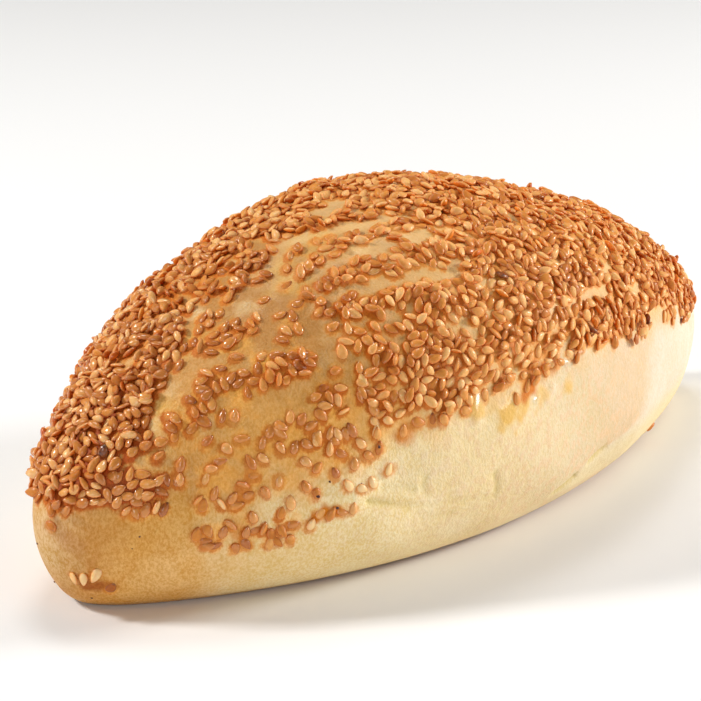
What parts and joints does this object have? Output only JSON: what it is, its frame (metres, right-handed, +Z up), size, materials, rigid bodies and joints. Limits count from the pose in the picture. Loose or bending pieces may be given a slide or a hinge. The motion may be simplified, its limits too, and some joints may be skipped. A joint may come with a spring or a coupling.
{
  "type": "pogaca bread roll",
  "caption": "Boat-shaped bread roll with a pale soft side, a golden domed top crowded with toasted sesame seeds and a flat underside.",
  "frame": {"origin": "centre of the roll's outline, on the flat underside", "axes": "+X along the roll, +Y across it to the back, +Z up"},
  "size_m": [0.1702, 0.0778, 0.0621],
  "materials": {
    "crust": "egg-washed baked crust, golden brown on the dome and cream on the sides",
    "sesame": "toasted, slightly glossy sesame seeds"
  },
  "bodies": {
    "root": {"bun": "crust"}
  },
  "joints": []
}
